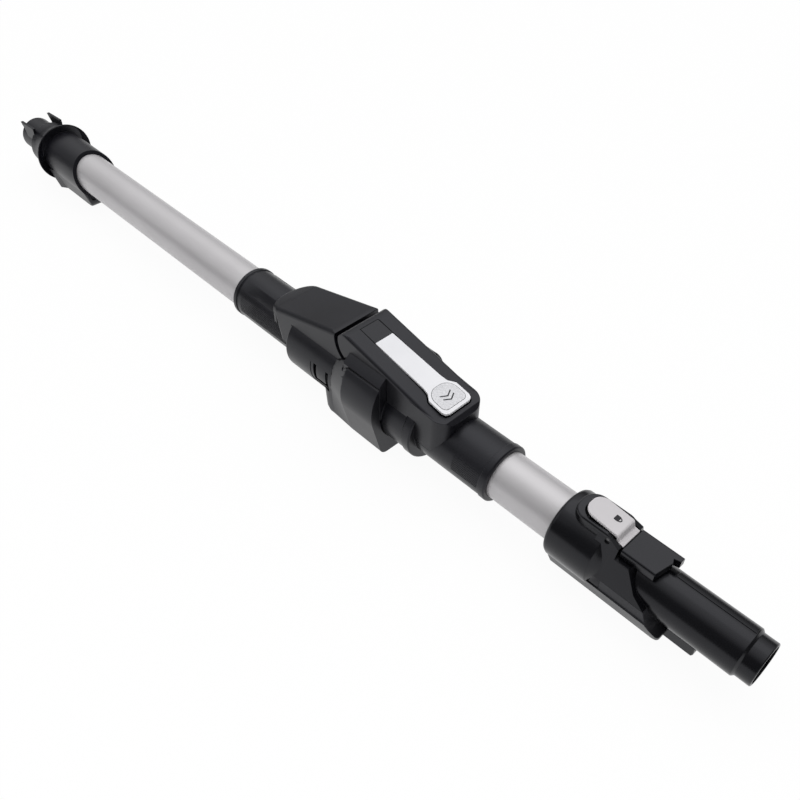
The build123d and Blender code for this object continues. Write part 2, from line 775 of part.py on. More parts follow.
# Pin, core and face plate of the push lever
with BuildPart() as lever_pin:
    with BuildSketch(Plane.XZ):
        with Locations((lever_pin_x, lever_pin_z)):
            Circle(lever_pin_r)
    extrude(amount=lever_half_y + 4, both=True)
finish(lever_pin.part, "lever_pin")

core_low_z = plate_z(lever_pin_x + lever_boss_r) - plate_t - core_t
core_back_x = hinge_x + lug_r + swing_gap
with BuildPart() as lever_core:
    with BuildSketch(Plane.XY):
        with BuildLine():
            Polyline(*lever_plan(lever_x0, 0), close=True)
        make_face()
    extrude(amount=room_top_z)
    with BuildSketch(Plane.XZ):
        with BuildLine():
            Polyline(
                (lever_x0, house_top_z),
                (lever_joint_x, plate_z(lever_joint_x)),
                (lever_joint_x, plate_z(lever_joint_x) - plate_t),
                (lever_x1, plate_z(lever_x1) - plate_t),
                (lever_x1, plate_z(lever_x1) - plate_t - core_t),
                (lever_pin_x + lever_boss_r, core_low_z),
                (lever_pin_x + lever_boss_r, lever_pin_z - lever_boss_r),
                (core_back_x, lever_pin_z - lever_boss_r),
                (core_back_x, hinge_z + lug_r + 0.5),
                (lever_x0, hinge_z + lug_r + 0.5),
                close=True,
            )
        make_face()
        with Locations((lever_pin_x, lever_pin_z)):
            Circle(lever_pin_r + run_gap, mode=Mode.SUBTRACT)
    extrude(amount=40, both=True, mode=Mode.INTERSECT)
finish(lever_core.part, "lever_core")

with BuildPart() as lever_plate:
    with BuildSketch(Plane.XY):
        with BuildLine():
            Polyline(*lever_plan(lever_joint_x, 0), close=True)
        make_face()
    extrude(amount=room_top_z)
    with BuildSketch(Plane.XZ):
        with BuildLine():
            Polyline(
                (lever_joint_x, plate_z(lever_joint_x)),
                (lever_x1, plate_z(lever_x1)),
                (lever_x1, plate_z(lever_x1) - plate_t),
                (lever_joint_x, plate_z(lever_joint_x) - plate_t),
                close=True,
            )
        make_face()
    extrude(amount=40, both=True, mode=Mode.INTERSECT)
finish(lever_plate.part, "lever_plate")

spring_edge = lever_spring_r + spring_wire_r
pocket_fall = (pocket_mid_z - pocket_end_z) / (lever_x1 + 5 - pocket_mid_x)
spring_floor = pocket_end_z + pocket_fall * (lever_x1 + 5 - lever_spring_x + spring_edge)
spring_top = plate_z(lever_spring_x + spring_edge) - plate_t - core_t
finish(
    coil_part(lever_spring_x, spring_floor, spring_top, lever_spring_r, spring_wire_r, 3.0),
    "lever_spring",
)

# Side panels of the handle connector, leaning in from the keel up to the latch boss
with BuildPart() as side_panels:
    with BuildSketch(Plane.YZ.offset(conn_collar_x1 - 4)):
        with BuildLine():
            Polyline(
                (-keel_side_y, keel_top_z),
                (keel_side_y, keel_top_z),
                (block_low_y, block_low_z),
                (boss_half_y, boss_top_z - 2),
                (-boss_half_y, boss_top_z - 2),
                (-block_low_y, block_low_z),
                close=True,
            )
        make_face()
    extrude(amount=block_x1 + 10 - conn_collar_x1 + 4)
    with BuildSketch(Plane.XZ):
        with BuildLine():
            Polyline(
                (conn_collar_x1 - 4, keel_top_z),
                (keel_step_x, keel_top_z),
                (keel_step_x, block_low_z),
                (block_x1 + 9, block_low_z),
                (block_x1 + 1, 4),
                (block_x1 - 7, block_top_z),
                (boss_x1, block_top_z),
                (boss_x1, arm_top_z),
                (boss_x1 - boss_fall, boss_top_z),
                (conn_collar_x1 - 4, boss_top_z),
                close=True,
            )
        make_face()
    extrude(amount=2 * conn_collar_r, both=True, mode=Mode.INTERSECT)

# Boss for the latch on top of the handle connector
with BuildPart() as latch_boss:
    with BuildSketch(Plane.XY.offset(block_top_z - 4)) as boss_plan:
        with Locations(((boss_x0 + boss_x1) / 2, 0)):
            Rectangle(boss_x1 - boss_x0, 2 * boss_half_y)
        fillet(boss_plan.vertices().sort_by(Axis.X)[:2], boss_corner_r)
    extrude(amount=boss_top_z - block_top_z + 4)
    with BuildSketch(Plane.XZ):
        with BuildLine():
            Polyline(
                (boss_x1, arm_top_z),
                (boss_x1 - boss_fall, boss_top_z),
                (boss_x1, boss_top_z),
                close=True,
            )
        make_face()
    extrude(amount=2 * boss_half_y, both=True, mode=Mode.SUBTRACT)
    fillet(latch_boss.faces().sort_by(Axis.Z)[-1].edges(), boss_edge_r)

# Handle connector: tube collar, side panels, spigot with a smaller tip, and the boss for the latch
with BuildPart() as handle_connector:
    with BuildSketch(Plane.XZ):
        with BuildLine():
            Polyline(
                (conn_x0, tube_r),
                (conn_x0, conn_collar_r - 2.2),
                (conn_x0 + 0.8, conn_collar_r - 0.9),
                (conn_x0 + 2.6, conn_collar_r),
                (conn_collar_x1, conn_collar_r),
                (conn_collar_x1 + 1.5, conn_collar_r - 1.5),
                (shoulder_x1, spigot_root_r),
                (spigot_x0, spigot_root_r),
                (spigot_x0, spigot_r),
                (spigot_x1, spigot_r),
                (spigot_x1 + 1.4, tip_r),
                (tip_x1 - 0.5, tip_r),
                (tip_x1, tip_r - 0.5),
                (tip_x1, airway_r),
                (rear_tube_x1, airway_r),
                (rear_tube_x1, tube_r),
                close=True,
            )
        make_face()
    revolve(axis=Axis.X)
    add(side_panels.part)
    add(latch_boss.part)
    with BuildSketch(Plane.YZ.offset(conn_x0)):
        Circle(tube_r)
    extrude(amount=rear_tube_x1 - conn_x0, mode=Mode.SUBTRACT)
    with BuildSketch(Plane.YZ.offset(rear_tube_x1)):
        Circle(airway_r)
    extrude(amount=tip_x1 - rear_tube_x1, mode=Mode.SUBTRACT)
    with BuildSketch(Plane.XY.offset(tube_r + 1.6)) as opening:
        with Locations(((opening_x0 + boss_x1 + 1) / 2, 0)):
            Rectangle(boss_x1 + 1 - opening_x0, 2 * (button_half_y + pass_gap))
        fillet(opening.vertices().sort_by(Axis.X)[:2], button_corner_r + pass_gap)
    extrude(amount=20, mode=Mode.SUBTRACT)
    with BuildSketch(Plane.XY.offset(latch_floor_z)):
        with Locations(((rear_tube_x1 + 2 + boss_x1 + 1) / 2, 0)):
            Rectangle(boss_x1 + 1 - rear_tube_x1 - 2, 2 * (button_half_y + pass_gap))
    extrude(amount=10, mode=Mode.SUBTRACT)
    with BuildSketch(Plane.XZ):
        with Locations((latch_pin_x, latch_pin_z)):
            Circle(latch_pin_r)
    extrude(amount=boss_half_y + 1, both=True, mode=Mode.SUBTRACT)
    for x in keel_screw_x:
        inner_r = airway_r if x > rear_tube_x1 else tube_r
        with BuildSketch(Plane.XY.offset(-conn_collar_r - 1)):
            with Locations((x, 0)):
                Circle(screw_r)
        extrude(amount=1 + conn_collar_r - inner_r - 0.9, mode=Mode.SUBTRACT)
finish(handle_connector.part, "handle_connector")

# Keel under the handle connector, screwed on, with a seat for the contact plug
plug_z = (plug_z0 + plug_z1) / 2
with BuildPart() as keel_cover:
    with BuildSketch(Plane.YZ.offset(keel_x0)):
        with BuildLine():
            Polyline(
                (-keel_top_y, keel_top_z),
                (keel_top_y, keel_top_z),
                (keel_low_y, keel_low_z),
                (-keel_low_y, keel_low_z),
                close=True,
            )
        make_face()
    extrude(amount=keel_x1 - keel_x0)
    fillet(keel_cover.faces().sort_by(Axis.X)[-1].edges().sort_by(Axis.Z)[0], 5)
    fillet(keel_cover.faces().sort_by(Axis.Z)[0].edges().filter_by(Axis.X), 2)
    with BuildSketch(Plane.YZ.offset(keel_step_x)):
        with BuildLine():
            Polyline(
                (-block_low_y, block_low_z),
                (block_low_y, block_low_z),
                (keel_side_y, keel_top_z),
                (keel_side_y - 3, keel_top_z - 7),
                (3 - keel_side_y, keel_top_z - 7),
                (-keel_side_y, keel_top_z),
                close=True,
            )
        make_face()
    extrude(amount=keel_x1 - 4 - keel_step_x)
    with BuildSketch(Plane.XZ):
        with BuildLine():
            Polyline(
                (keel_x0, 0),
                (keel_x0, conn_collar_r),
                (conn_collar_x1, conn_collar_r),
                (conn_collar_x1 + 1.5, conn_collar_r - 1.5),
                (shoulder_x1, spigot_root_r),
                (keel_x1, spigot_root_r),
                (keel_x1, 0),
                close=True,
            )
        make_face()
    revolve(axis=Axis.X, mode=Mode.SUBTRACT)
    with BuildSketch(Plane.XZ):
        with BuildLine():
            Polyline(
                (block_x1 + 8, block_low_z + 1),
                (block_x1 + 9, block_low_z),
                (keel_x1 - 8, keel_top_z),
                (keel_x1 - 5, keel_top_z - 6),
                (keel_x1 + 1, keel_top_z - 11),
                (keel_x1 + 1, block_low_z + 1),
                close=True,
            )
        make_face()
    extrude(amount=keel_top_y + 5, both=True, mode=Mode.SUBTRACT)
    with BuildSketch(Plane.YZ.offset(plug_x0)):
        with Locations((0, plug_z)):
            Rectangle(2 * plug_half_y, plug_z1 - plug_z0)
    extrude(amount=plug_x1 - plug_x0, mode=Mode.SUBTRACT)
    for x in keel_screw_x:
        with BuildSketch(Plane.XY.offset(keel_low_z - 1)):
            with Locations((x, 0)):
                Circle(screw_r + screw_gap)
        extrude(amount=14, mode=Mode.SUBTRACT)
        with BuildSketch(Plane.XY.offset(keel_low_z - 1)):
            with Locations((x, 0)):
                Circle(screw_head_r + screw_gap)
        extrude(amount=1 + screw_head_t + screw_sink, mode=Mode.SUBTRACT)
finish(keel_cover.part, "keel_cover")

# Screws of the near keel
with BuildPart() as keel_screws:
    for x in keel_screw_x:
        inner_r = airway_r if x > rear_tube_x1 else tube_r
        with BuildSketch(Plane.XY.offset(keel_low_z + screw_sink)):
            with Locations((x, 0)):
                Circle(screw_head_r)
        extrude(amount=screw_head_t)
        with BuildSketch(Plane.XY.offset(keel_low_z + screw_sink)):
            with Locations((x, 0)):
                Circle(screw_r)
        extrude(amount=-keel_low_z - screw_sink - inner_r - 1.2)
finish(keel_screws.part, "keel_screws")

# Contact plug under the spigot, and its two contacts
with BuildPart() as contact_plug:
    with BuildSketch(Plane.YZ.offset(plug_x0)):
        with Locations((0, plug_z)):
            Rectangle(2 * plug_half_y, plug_z1 - plug_z0)
    extrude(amount=plug_x1 - plug_x0)
    chamfer(contact_plug.faces().sort_by(Axis.X)[-1].edges(), 0.8)
    with BuildSketch(Plane.YZ.offset(plug_x1)):
        with Locations((-contact_y, plug_z), (contact_y, plug_z)):
            Rectangle(contact_wide + 0.6, 2 * contact_thick)
    extrude(amount=-plug_slot_len, mode=Mode.SUBTRACT)
finish(contact_plug.part, "contact_plug")
with BuildPart() as plug_contacts:
    with BuildSketch(Plane.YZ.offset(plug_x1 - plug_slot_len)):
        with Locations((-contact_y, plug_z), (contact_y, plug_z)):
            Rectangle(contact_wide, contact_thick)
    extrude(amount=plug_slot_len - 2)
finish(plug_contacts.part, "plug_contacts")

# Latch: pin, rocker with the arm over the spigot, button cap and spring
with BuildPart() as latch_pin:
    with BuildSketch(Plane.XZ):
        with Locations((latch_pin_x, latch_pin_z)):
            Circle(latch_pin_r)
    extrude(amount=boss_half_y - 0.4, both=True)
finish(latch_pin.part, "latch_pin")

with BuildPart() as latch_rocker:
    with BuildSketch(Plane.XZ):
        with BuildLine():
            Polyline(
                (rocker_x0, latch_low_z),
                (rocker_x0, button_low_z),
                (step_x, button_end_z - button_t),
                (step_x, arm_top_z),
                (arm_x0 - 0.6, arm_top_z - 1.2),
                (arm_x0, arm_top_z - 1.2),
                (arm_x0, block_top_z + arm_lift),
                (boss_x1 - 2, block_top_z + 2.5),
                (latch_pin_x, latch_pin_z - latch_boss_r),
                (latch_pin_x - 4, latch_low_z),
                close=True,
            )
        make_face()
        with Locations((latch_pin_x, latch_pin_z)):
            Circle(latch_pin_r + run_gap, mode=Mode.SUBTRACT)
    extrude(amount=button_half_y - 0.5, both=True)
    with BuildSketch(Plane.XY.offset(block_top_z + arm_lift)):
        with BuildLine():
            Polyline(
                (arm_x0, -arm_half_y),
                (arm_x1 - 5, -arm_half_y),
                (arm_x1 - 2.5, arm_half_y - 7.5),
                (arm_x1 - 3.8, arm_half_y - 5),
                (arm_x1, arm_half_y - 4),
                (arm_x1, arm_half_y),
                (arm_x0, arm_half_y),
                close=True,
            )
        make_face()
    extrude(amount=arm_top_z - block_top_z - arm_lift)
    for side in (-1, 1):
        arm_edge = latch_rocker.edges().sort_by_distance(
            ((arm_x0 + arm_x1) / 2, side * arm_half_y, arm_top_z)
        )[0]
        fillet(arm_edge, 1.6)
    with BuildSketch(Plane.YZ.offset(arm_x0)):
        Circle(spigot_r + 1.6)
    extrude(amount=arm_x1 - arm_x0, mode=Mode.SUBTRACT)
finish(latch_rocker.part, "latch_rocker")

with BuildPart() as latch_button:
    with BuildSketch(Plane.XY.offset(latch_low_z)) as button_plan:
        with Locations(((button_x0 + arm_x0 - 0.6) / 2, 0)):
            Rectangle(arm_x0 - 0.6 - button_x0, 2 * button_half_y)
        fillet(button_plan.vertices().sort_by(Axis.X)[:2], button_corner_r)
    extrude(amount=20)
    with BuildSketch(Plane.XZ):
        with BuildLine():
            Polyline(
                (button_x0, button_low_z),
                (button_x0, button_top_z),
                (button_x1 - 1, button_end_z),
                (button_x1 + 0.2, button_end_z - 0.8),
                (button_x1 + 1, arm_top_z + 0.9),
                (arm_x0 - 0.6, arm_top_z),
                (arm_x0 - 0.6, arm_top_z - 1.2),
                (step_x, arm_top_z),
                (step_x, button_end_z - button_t),
                (rocker_x0, button_low_z),
                close=True,
            )
        make_face()
    extrude(amount=40, both=True, mode=Mode.INTERSECT)
finish(latch_button.part, "latch_button")

finish(
    coil_part(latch_spring_x, latch_floor_z, latch_low_z, latch_spring_r, spring_wire_r, 3.5),
    "latch_spring",
)
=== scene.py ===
import json
from math import cos, radians, sin

import bpy
from mathutils import Matrix, Vector

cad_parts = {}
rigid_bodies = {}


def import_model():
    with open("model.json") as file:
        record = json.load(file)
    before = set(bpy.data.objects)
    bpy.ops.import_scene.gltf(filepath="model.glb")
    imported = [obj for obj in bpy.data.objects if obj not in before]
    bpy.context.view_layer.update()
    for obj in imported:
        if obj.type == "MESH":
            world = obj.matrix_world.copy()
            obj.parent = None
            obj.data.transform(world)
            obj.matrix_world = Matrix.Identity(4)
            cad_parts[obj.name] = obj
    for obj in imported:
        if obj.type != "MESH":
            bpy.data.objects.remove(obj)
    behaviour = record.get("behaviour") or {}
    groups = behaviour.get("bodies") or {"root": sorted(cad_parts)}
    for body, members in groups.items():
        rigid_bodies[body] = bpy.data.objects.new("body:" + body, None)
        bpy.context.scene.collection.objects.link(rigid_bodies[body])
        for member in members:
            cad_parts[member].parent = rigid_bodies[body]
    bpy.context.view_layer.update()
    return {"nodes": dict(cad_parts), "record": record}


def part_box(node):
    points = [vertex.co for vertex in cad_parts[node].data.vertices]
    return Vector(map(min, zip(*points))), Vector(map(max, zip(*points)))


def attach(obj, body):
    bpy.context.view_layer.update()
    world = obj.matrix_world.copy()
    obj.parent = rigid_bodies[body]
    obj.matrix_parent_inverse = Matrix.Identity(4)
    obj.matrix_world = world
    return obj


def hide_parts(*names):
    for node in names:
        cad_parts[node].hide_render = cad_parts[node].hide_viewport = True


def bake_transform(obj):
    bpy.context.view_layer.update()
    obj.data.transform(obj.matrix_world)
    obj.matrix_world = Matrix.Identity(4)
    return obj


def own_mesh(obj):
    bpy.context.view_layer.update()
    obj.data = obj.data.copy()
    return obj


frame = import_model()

MM = 0.001

# Camera, fitted to the outlines of the tubes in the photograph
CAMERA_PLACE = Vector((0.7799, -0.2778, 0.3849))
CAMERA_AZIMUTH = radians(45.90)
CAMERA_ELEVATION = radians(44.091)
CAMERA_ROLL = radians(0.606)
CAMERA_FOCAL_PX = 861.09
PICTURE_PX = 800.0
CAMERA_BACK = Vector(
    (
        sin(CAMERA_AZIMUTH) * cos(CAMERA_ELEVATION),
        -cos(CAMERA_AZIMUTH) * cos(CAMERA_ELEVATION),
        sin(CAMERA_ELEVATION),
    )
)

# Direction of the large lamp that the plastics mirror, up over the wand and away from the camera
LAMP_ELEVATION = CAMERA_ELEVATION + radians(68)
LAMP_SIDE = Vector(
    (
        sin(CAMERA_AZIMUTH) * cos(LAMP_ELEVATION),
        -cos(CAMERA_AZIMUTH) * cos(LAMP_ELEVATION),
        sin(LAMP_ELEVATION),
    )
)

# Brightness of the white studio
CAMERA_WHITE = 0.95
FLOOR_SHEEN = 0.9
LAMP_SHEEN = 1.05
WALL_SHEEN = 0.14
LIT_GAIN = 1.9

# Lowest point of the wand, which is the floor it lies on
FLOOR_GAP = 0.2 * MM
FLOOR_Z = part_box("drum")[0].z - FLOOR_GAP
FLOOR_SIZE = 8.0

# Height of the plastics' grain, and height, width and patch size of the metals' drawing lines
GRAIN_HEIGHT = 0.05 * MM
LINE_HEIGHT = 0.02 * MM
LINE_WIDTH = 0.6 * MM
LINE_PATCH = 60 * MM

# Points closer than MERGE become one, points within TOUCH of a plane lie on it
MERGE = 0.002 * MM
TOUCH = 0.01 * MM

# Edges that turn by more than SHARP_ANGLE are rounded, and by more than SMOOTH_ANGLE stay crisp
SHARP_ANGLE = 28
SMOOTH_MARGIN = 4
SMOOTH_ANGLE = SHARP_ANGLE + SMOOTH_MARGIN


def linear(code):
    """An sRGB hex colour as a linear RGBA value."""
    channels = [int(code[i : i + 2], 16) / 255 for i in (1, 3, 5)]
    values = [c / 12.92 if c <= 0.04045 else ((c + 0.055) / 1.055) ** 2.4 for c in channels]
    return (*values, 1.0)


def add_node(tree, kind, settings, links):
    """Adds a node, sets its properties and sockets, and links its inputs."""
    node = tree.nodes.new(kind)
    for key, value in settings.items():
        if isinstance(key, str) and hasattr(node, key):
            setattr(node, key, value)
        else:
            node.inputs[key].default_value = value
    for key, source in links.items():
        tree.links.new(source, node.inputs[key])
    return node


def new_material(name):
    material = bpy.data.materials.new(name)
    material.use_nodes = True
    tree = material.node_tree
    tree.nodes.clear()
    return material, tree


def moulded_plastic(
    name, dark, light, rough_low, rough_high, grain_mm, grain_depth, patch_mm=45
):
    """Moulded ABS or rubber: a fine grain, with patches that differ a little in tone and sheen."""
    material, tree = new_material(name)
    place = add_node(tree, "ShaderNodeTexCoord", {}, {}).outputs["Object"]
    slow = add_node(
        tree,
        "ShaderNodeTexNoise",
        {"Scale": 1 / (patch_mm * MM), "Detail": 3.0, "Roughness": 0.55},
        {"Vector": place},
    )
    share = add_node(
        tree, "ShaderNodeMapRange", {"From Min": 0.3, "From Max": 0.7}, {"Value": slow.outputs["Fac"]}
    )
    tone = add_node(tree, "ShaderNodeMix", {"data_type": "RGBA"}, {0: share.outputs["Result"]})
    tone.inputs[6].default_value = linear(dark)
    tone.inputs[7].default_value = linear(light)
    grain = add_node(
        tree,
        "ShaderNodeTexNoise",
        {"Scale": 1 / (grain_mm * MM), "Detail": 2.0, "Roughness": 0.6},
        {"Vector": place},
    )
    rough = add_node(
        tree,
        "ShaderNodeMapRange",
        {"To Min": rough_low, "To Max": rough_high},
        {"Value": share.outputs["Result"]},
    )
    bump = add_node(
        tree,
        "ShaderNodeBump",
        {"Strength": grain_depth, "Distance": GRAIN_HEIGHT},
        {"Height": grain.outputs["Fac"]},
    )
    shader = add_node(
        tree,
        "ShaderNodeBsdfPrincipled",
        {"IOR": 1.5, "Specular IOR Level": 0.4, "Specular Tint": (0.92, 0.93, 1.0, 1.0)},
        {
            "Base Color": tone.outputs[2],
            "Roughness": rough.outputs["Result"],
            "Normal": bump.outputs["Normal"],
        },
    )
    add_node(tree, "ShaderNodeOutputMaterial", {}, {"Surface": shader.outputs["BSDF"]})
    return material


def drawn_metal(name, dark, light, metallic):
    """Metal drawn along X: very fine lines, with a soft broad sheen."""
    material, tree = new_material(name)
    place = add_node(tree, "ShaderNodeTexCoord", {}, {}).outputs["Object"]
    stretch = add_node(
        tree, "ShaderNodeMapping", {"Scale": (0.02, 1.0, 1.0)}, {"Vector": place}
    )
    lines = add_node(
        tree,
        "ShaderNodeTexNoise",
        {"Scale": 1 / LINE_WIDTH, "Detail": 3.0, "Roughness": 0.6},
        {"Vector": stretch.outputs["Vector"]},
    )
    slow = add_node(
        tree,
        "ShaderNodeTexNoise",
        {"Scale": 1 / LINE_PATCH, "Detail": 2.0},
        {"Vector": place},
    )
    both = add_node(
        tree,
        "ShaderNodeMath",
        {"operation": "MULTIPLY_ADD", 1: 0.2},
        {0: lines.outputs["Fac"], 2: slow.outputs["Fac"]},
    )
    share = add_node(
        tree, "ShaderNodeMapRange", {"From Min": 0.4, "From Max": 1.0}, {"Value": both.outputs[0]}
    )
    tone = add_node(tree, "ShaderNodeMix", {"data_type": "RGBA"}, {0: share.outputs["Result"]})
    tone.inputs[6].default_value = linear(dark)
    tone.inputs[7].default_value = linear(light)
    rough = add_node(
        tree,
        "ShaderNodeMapRange",
        {"To Min": 0.36, "To Max": 0.46},
        {"Value": lines.outputs["Fac"]},
    )
    bump = add_node(
        tree,
        "ShaderNodeBump",
        {"Strength": 0.03, "Distance": LINE_HEIGHT},
        {"Height": lines.outputs["Fac"]},
    )
    shader = add_node(
        tree,
        "ShaderNodeBsdfPrincipled",
        {"Metallic": metallic},
        {
            "Base Color": tone.outputs[2],
            "Roughness": rough.outputs["Result"],
            "Normal": bump.outputs["Normal"],
        },
    )
    add_node(tree, "ShaderNodeOutputMaterial", {}, {"Surface": shader.outputs["BSDF"]})
    return material


# The plastics' grain and the metals' lines are drawn coarser than the real ones, too fine to show.
# Satin black ABS from a spark-eroded mould: soft grey highlights and no mirror image
satin_abs = moulded_plastic("satin_black_abs", "#101014", "#15151a", 0.30, 0.38, 0.35, 0.15)
# Gloss black ABS from a polished mould: a deeper black with narrow highlights
gloss_abs = moulded_plastic("gloss_black_abs", "#07070a", "#0b0b0e", 0.20, 0.26, 0.9, 0.04)
# Black ABS drawn a step lighter than the shells as painted sheen for the light on the keels' slanted
# sides, and duller
keel_abs_painted_sheen = moulded_plastic("black_abs_painted_sheen", "#19191c", "#202024", 0.34, 0.42, 0.35, 0.15)
# Silver paint on ABS: a pale and even satin
silver_paint = moulded_plastic("silver_painted_abs", "#d9d9dc", "#e2e2e5", 0.36, 0.44, 0.5, 0.04)
# Speckled paint on the finger pad: a mottle of two greys
pad_paint = moulded_plastic("speckled_silver_abs", "#bdbdc0", "#dcdcdf", 0.40, 0.55, 0.5, 0.10, 0.9)
# Paint on the latch button: a warmer and darker silver than the lever's
button_paint = moulded_plastic("silver_button_abs", "#bcb9bb", "#c5c2c4", 0.34, 0.42, 0.5, 0.04)
# Printing ink: a flat near-black
mark_ink = moulded_plastic("dark_printing_ink", "#18181a", "#1f1f21", 0.45, 0.55, 0.5, 0.02)
# Bellows rubber: a dull black with a wide and faint sheen
bellows_rubber = moulded_plastic("bellows_rubber", "#0e0e10", "#141416", 0.55, 0.68, 0.6, 0.2)
# Anodised aluminium, drawn and satin: a pale band of light along each tube
tube_finish = drawn_metal("satin_anodised_aluminium", "#bfbdbf", "#c9c7c9", 0.5)
# Plain steel of the pins, screws and springs: darker and shinier than the tubes
steel_finish = drawn_metal("plain_steel", "#8c8c8e", "#9a9a9c", 0.9)
# Brass of the contacts: a muted yellow
contact_finish = drawn_metal("contact_brass", "#a88c4c", "#b89c5c", 0.9)

FINISH = {
    "dark_plastic": satin_abs,
    "gloss_black": gloss_abs,
    # The keels get the black ABS drawn a step lighter: painted sheen
    "grey_plastic": keel_abs_painted_sheen,
    "silver_plastic": silver_paint,
    "tube_aluminium": tube_finish,
    "hose_rubber": bellows_rubber,
    "lead_rubber": bellows_rubber,
    "steel": steel_finish,
    "contact_metal": contact_finish,
}


def dress(piece, material):
    piece.data.materials.clear()
    piece.data.materials.append(material)


slot_of = {row["node"]: row["material_slot"] for row in frame["record"]["subparts"]}
body_of = {
    node: body
    for body, members in frame["record"]["behaviour"]["bodies"].items()
    for node in members
}
for node, part in frame["nodes"].items():
    dress(part, FINISH[slot_of[node]])


def only(piece):
    """Selects one piece alone and makes it the active one."""
    bpy.ops.object.select_all(action="DESELECT")
    piece.hide_viewport = False
    piece.select_set(True)
    bpy.context.view_layer.objects.active = piece


def apply_modifier(piece, kind, settings):
    modifier = piece.modifiers.new(kind.lower(), kind)
    for key, value in settings.items():
        setattr(modifier, key, value)
    only(piece)
    bpy.ops.object.modifier_apply(modifier=modifier.name)


def smooth(piece, angle):
    only(piece)
    bpy.ops.object.shade_smooth_by_angle(angle=radians(angle))


def round_edges(piece, width_mm, angle=SHARP_ANGLE):
    """Rounds the sharp edges where a width is given, and shades the rest as smooth."""
    if width_mm:
        apply_modifier(
            piece,
            "BEVEL",
            {
                "width": width_mm * MM,
                "segments": 3,
                "limit_method": "ANGLE",
                "angle_limit": radians(angle),
                "use_clamp_overlap": False,
            },
        )
    smooth(piece, angle + SMOOTH_MARGIN)
    apply_modifier(piece, "WEIGHTED_NORMAL", {"keep_sharp": True})


def node_copy(node, name, whole=True):
    """A free copy of a CAD node's mesh, merged, with its flat faces whole where none has a hole."""
    only(frame["nodes"][node])
    bpy.ops.object.duplicate()
    piece = bpy.context.object
    piece.name = name
    for key in list(piece.keys()):
        del piece[key]
    bpy.ops.object.parent_clear(type="CLEAR_KEEP_TRANSFORM")
    bpy.ops.object.mode_set(mode="EDIT")
    bpy.ops.mesh.select_all(action="SELECT")
    bpy.ops.mesh.remove_doubles(threshold=MERGE)
    if whole:
        bpy.ops.mesh.dissolve_limited(angle_limit=radians(0.4))
    bpy.ops.mesh.normals_make_consistent(inside=False)
    bpy.ops.object.mode_set(mode="OBJECT")
    return piece


def stand_for(piece, node, material=None):
    """Shows a piece in place of a CAD node."""
    dress(piece, material or FINISH[slot_of[node]])
    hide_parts(node)


def skin(node, name, width_mm, angle=SHARP_ANGLE, material=None, whole=True):
    """A copy of a CAD node with its sharp edges rounded, shown in the node's place."""
    piece = node_copy(node, name, whole)
    round_edges(piece, width_mm, angle)
    stand_for(piece, node, material)
    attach(piece, body_of[node])


# Rounding of each node's sharp edges in mm, with 0 where they stay as the solid has them
skin("head_connector", "far_connector", 0.3, whole=False)
skin("head_keel", "far_keel", 0)
skin("front_tube", "long_tube", 0.15)
skin("elbow_front", "elbow_shell", 0)
skin("front_cover", "elbow_cover", 0.3, whole=False)
skin("drum", "elbow_drum", 0, 45)
skin("hose_ring", "window_tongue_ring", 0.3)
skin("elbow_rear", "elbow_cuff", 0.25, whole=False)
skin("lever_housing", "lever_rails", 0.25, whole=False)
skin("lever_core", "lever_body", 0.15)
skin("lever_plate", "lever_face", 0.3)
skin("rear_tube", "short_tube", 0.15)
skin("keel_cover", "near_keel", 0.3)
skin("contact_plug", "near_contact_tongue", 0.3)
skin("latch_rocker", "latch_arm", 0.3)
skin("latch_button", "latch_cap", 0.5, material=button_paint)


def select_vertices(piece, wanted):
    """Selects the vertices whose place passes a test, and opens the piece in edit mode."""
    only(piece)
    bpy.ops.object.mode_set(mode="EDIT")
    bpy.ops.mesh.select_mode(type="VERT")
    bpy.ops.mesh.select_all(action="DESELECT")
    bpy.ops.object.mode_set(mode="OBJECT")
    for vertex in piece.data.vertices:
        vertex.select = wanted(vertex.co)
    bpy.ops.object.mode_set(mode="EDIT")


def start_mesh(name, kind, **settings):
    """Adds a primitive and opens it in edit mode with everything selected."""
    bpy.ops.object.select_all(action="DESELECT")
    getattr(bpy.ops.mesh, f"primitive_{kind}_add")(**settings)
    piece = bpy.context.object
    piece.name = name
    bpy.ops.object.mode_set(mode="EDIT")
    bpy.ops.mesh.select_all(action="SELECT")
    return piece


def settle(piece, place, turn):
    """Leaves edit mode, and moves and turns the mesh with the object kept at the origin."""
    bpy.ops.object.mode_set(mode="OBJECT")
    only(piece)
    piece.location = place
    piece.rotation_euler = turn
    bpy.ops.object.transform_apply(location=True, rotation=True, scale=True)


def join(pieces):
    only(pieces[0])
    for piece in pieces[1:]:
        piece.select_set(True)
    bpy.ops.object.join()
    return pieces[0]


def fit_out(piece, body, material):
    """Dresses a detail and lets it ride with a body."""
    only(piece)
    bpy.ops.object.mode_set(mode="EDIT")
    bpy.ops.mesh.select_all(action="SELECT")
    bpy.ops.mesh.normals_make_consistent(inside=False)
    bpy.ops.object.mode_set(mode="OBJECT")
    smooth(piece, SMOOTH_ANGLE)
    dress(piece, material)
    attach(piece, body)


def arc_block(name, x_span, r_span, turn, centre_z=0.0):
    """A bar bent round the tube axis, in mm and in degrees from -Y up to +Z."""
    piece = start_mesh(name, "plane", size=1.0)
    bpy.ops.transform.resize(
        value=((x_span[1] - x_span[0]) * MM, (r_span[1] - r_span[0]) * MM, 1)
    )
    bpy.ops.transform.translate(value=(sum(x_span) / 2 * MM, -sum(r_span) / 2 * MM, 0))
    bpy.ops.mesh.spin(
        steps=max(2, round((turn[1] - turn[0]) / 2)),
        angle=radians(turn[1] - turn[0]),
        center=(0, 0, 0),
        axis=(1, 0, 0),
    )
    settle(piece, (0, 0, centre_z * MM), (-radians(turn[0]), 0, 0))
    return piece


